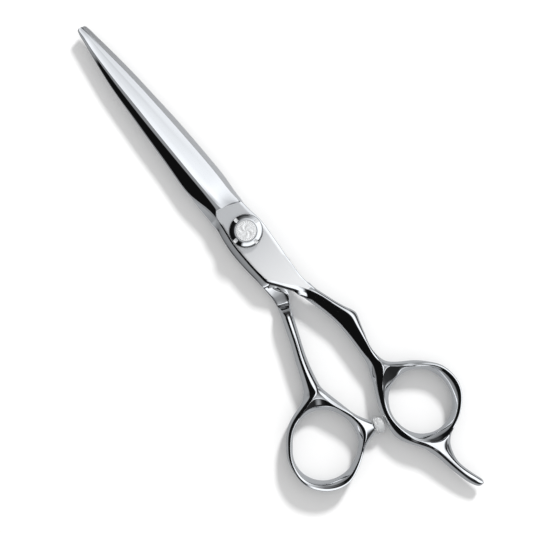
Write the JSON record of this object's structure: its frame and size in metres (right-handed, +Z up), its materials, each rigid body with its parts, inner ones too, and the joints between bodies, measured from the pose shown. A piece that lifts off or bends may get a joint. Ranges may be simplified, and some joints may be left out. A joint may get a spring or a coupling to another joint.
{
  "type": "hair cutting shears",
  "caption": "Polished steel hair shears, straight convex blades, dial-tensioned pivot, crane finger shank with tang, thumb ring with clear bumper.",
  "frame": {"origin": "on the pivot axis, on the flat underside of the pivot bolt's head, which is the surface the shears lie on", "axes": "+Z up along the pivot axis towards the tension dial, +Y towards the blade tips, +X towards the finger ring's side"},
  "size_m": [0.0565, 0.1842, 0.0083],
  "materials": {
    "polished_steel": "mirror polished forged steel",
    "satin_steel": "satin",
    "white_ptfe": "matt PTFE",
    "bronze": "plain bearing bronze",
    "clear_polymer": "clear soft polymer"
  },
  "bodies": {
    "finger": {"finger_half": "polished_steel", "pivot_bush": "bronze"},
    "thumb": {"thumb_half": "polished_steel", "pivot_bolt": "satin_steel", "friction_washer": "white_ptfe", "wave_washer": "satin_steel", "click_plate": "satin_steel", "bumper_stud": "satin_steel", "bumper_cap": "clear_polymer"},
    "dial": {"tension_dial": "polished_steel", "dial_medallion": "satin_steel"}
  },
  "joints": [
    {"name": "blade_pivot", "type": "hinge", "parent": "finger", "child": "thumb", "pos_m": [0, 0, 0.0033], "axis": [0, 0, -1], "range_deg": [0, 60]},
    {"name": "dial_turn", "type": "hinge", "parent": "thumb", "child": "dial", "pos_m": [0, 0, 0.007], "axis": [0, 0, 1], "range_deg": [-90, 90]}
  ]
}
